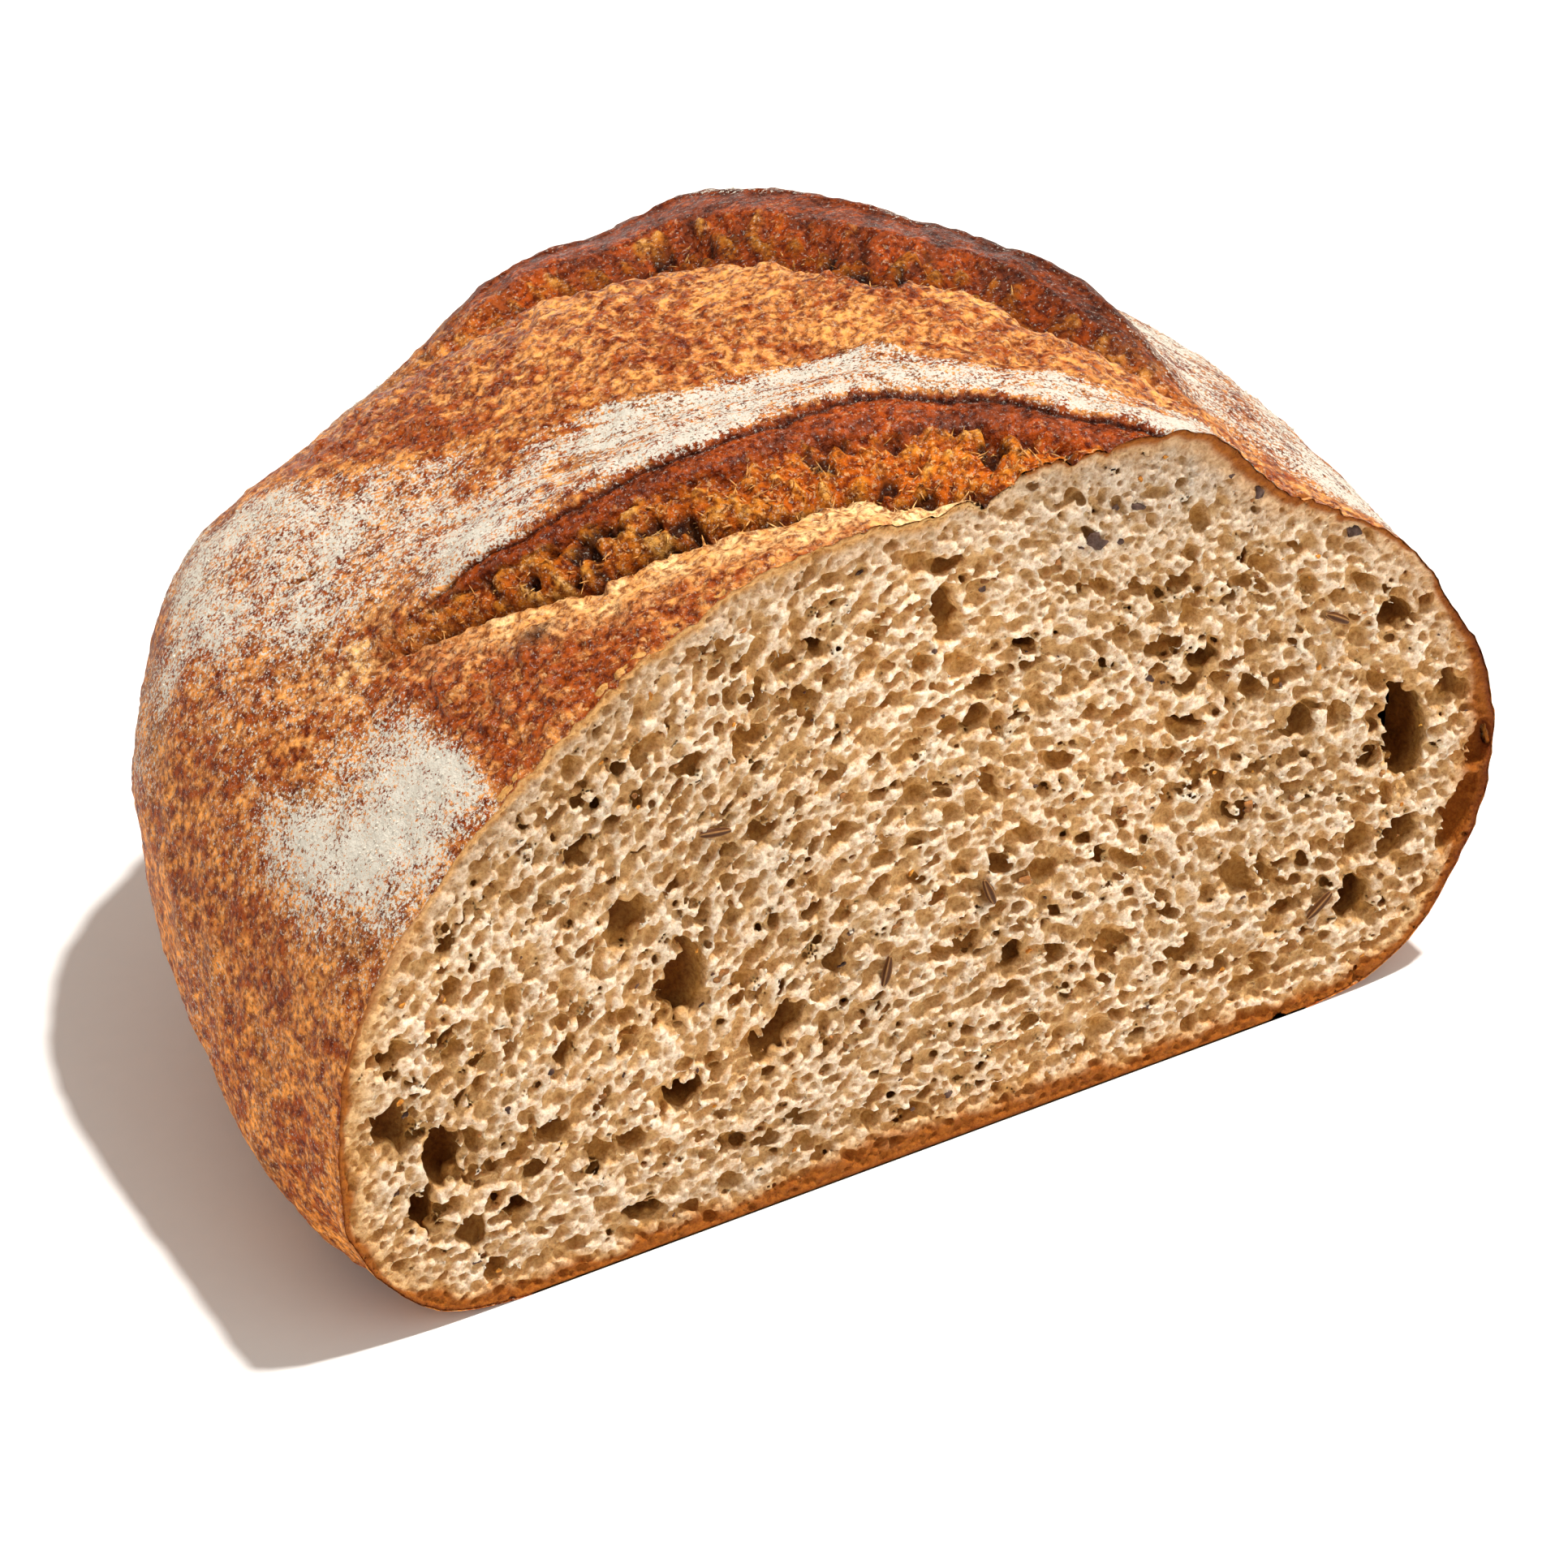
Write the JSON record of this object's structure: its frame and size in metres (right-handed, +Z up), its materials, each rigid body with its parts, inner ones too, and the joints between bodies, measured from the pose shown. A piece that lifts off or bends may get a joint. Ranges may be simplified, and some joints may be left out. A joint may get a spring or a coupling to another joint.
{
  "type": "half rye loaf",
  "caption": "Half of a free-standing oval rye loaf, cut across: flat bottom crust, browned scored top with raised ears, bare cut face of open crumb.",
  "frame": {"origin": "middle of the bounding box, on the flat bottom crust that the half stands on", "axes": "+Z up; the cut face is flat and looks along -Y; the loaf's length runs along +Y to its rounded end; +X is to the right seen from in front of the cut face"},
  "size_m": [0.168, 0.1152, 0.1017],
  "materials": {
    "baked_crust": "browned, floury baked crust, dry and slightly glossy where bare",
    "crumb": "matt, open and slightly moist rye crumb",
    "flour": "dry flour dust",
    "caraway": "dry, dark ribbed seed and bran"
  },
  "bodies": {
    "root": {"half_loaf": "baked_crust"}
  },
  "joints": []
}
